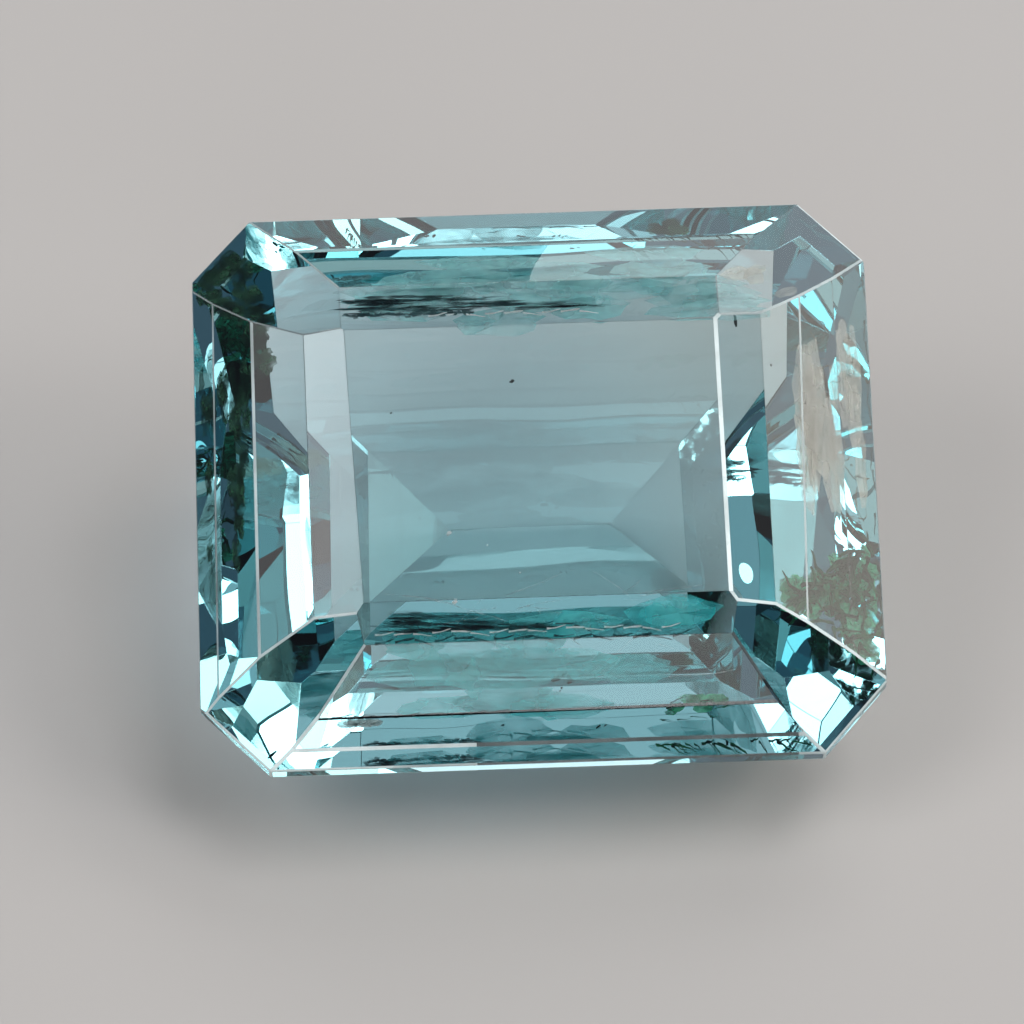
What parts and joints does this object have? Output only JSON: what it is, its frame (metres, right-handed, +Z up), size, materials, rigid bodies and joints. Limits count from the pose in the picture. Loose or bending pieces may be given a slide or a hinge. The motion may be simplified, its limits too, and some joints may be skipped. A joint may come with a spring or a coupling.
{
  "type": "blue topaz gemstone",
  "caption": "Loose pale blue topaz in an octagonal step cut, clear with mossy green and black mineral inclusions, lying on its pavilion.",
  "frame": {"origin": "middle of the stone's footprint, on the surface that it lies on", "axes": "+Z up with the stone lying on its near keel facet, +X along the stone's length and its keel, -Y the side towards which its table leans"},
  "size_m": [0.012, 0.0094, 0.0068],
  "materials": {
    "topaz": "polished facets, see-through pale blue crystal"
  },
  "bodies": {
    "root": {"gemstone": "topaz"}
  },
  "joints": []
}
